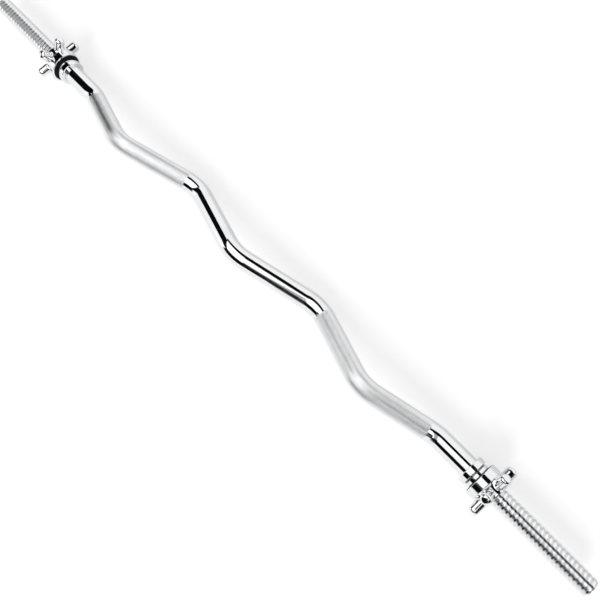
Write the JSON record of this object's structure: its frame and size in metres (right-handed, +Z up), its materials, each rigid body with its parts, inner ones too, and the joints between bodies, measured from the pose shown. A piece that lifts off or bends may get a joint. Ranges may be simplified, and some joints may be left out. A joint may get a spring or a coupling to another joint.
{
  "type": "ez curl bar",
  "caption": "Bent steel curl bar with knurled grips, threaded ends for weight plates, fixed inner collars and star-shaped screw collars with rubber rings.",
  "frame": {"origin": "on the floor below the middle of the bar, under the shared axis of its two straight ends", "axes": "+X along the straight ends towards the end that is nearer in the picture, +Z up, the W leans towards -Y"},
  "size_m": [1.2, 0.0749, 0.068],
  "materials": {
    "chrome": "polished chrome plate, knurled and matt on the grips",
    "rubber": "matt black",
    "black_steel": "black oxide"
  },
  "bodies": {
    "bar": {"bar": "chrome", "left_inner_collar": "chrome", "left_collar_screw": "black_steel", "right_inner_collar": "chrome", "right_collar_screw": "black_steel"},
    "left_ring": {"left_rubber_ring": "rubber"},
    "left_star": {"left_star_collar": "chrome"},
    "right_ring": {"right_rubber_ring": "rubber"},
    "right_star": {"right_star_collar": "chrome"}
  },
  "joints": [
    {"name": "left_star_travel", "type": "slide", "parent": "bar", "child": "left_ring", "axis": [-1, 0, 0], "range_m": [0, 0.175]},
    {"name": "left_star_spin", "type": "hinge", "parent": "left_ring", "child": "left_star", "pos_m": [-0.449, 0, 0.03402], "axis": [-1, 0, 0], "range_deg": [0, 9900]},
    {"name": "right_star_travel", "type": "slide", "parent": "bar", "child": "right_ring", "axis": [1, 0, 0], "range_m": [0, 0.175]},
    {"name": "right_star_spin", "type": "hinge", "parent": "right_ring", "child": "right_star", "pos_m": [0.449, 0, 0.03402], "axis": [1, 0, 0], "range_deg": [0, 9900]}
  ],
  "couplings": [
    {"joint": "left_star_travel", "follows": "left_star_spin", "m_per_rad": 0.0010106},
    {"joint": "right_star_travel", "follows": "right_star_spin", "m_per_rad": 0.0010106}
  ]
}
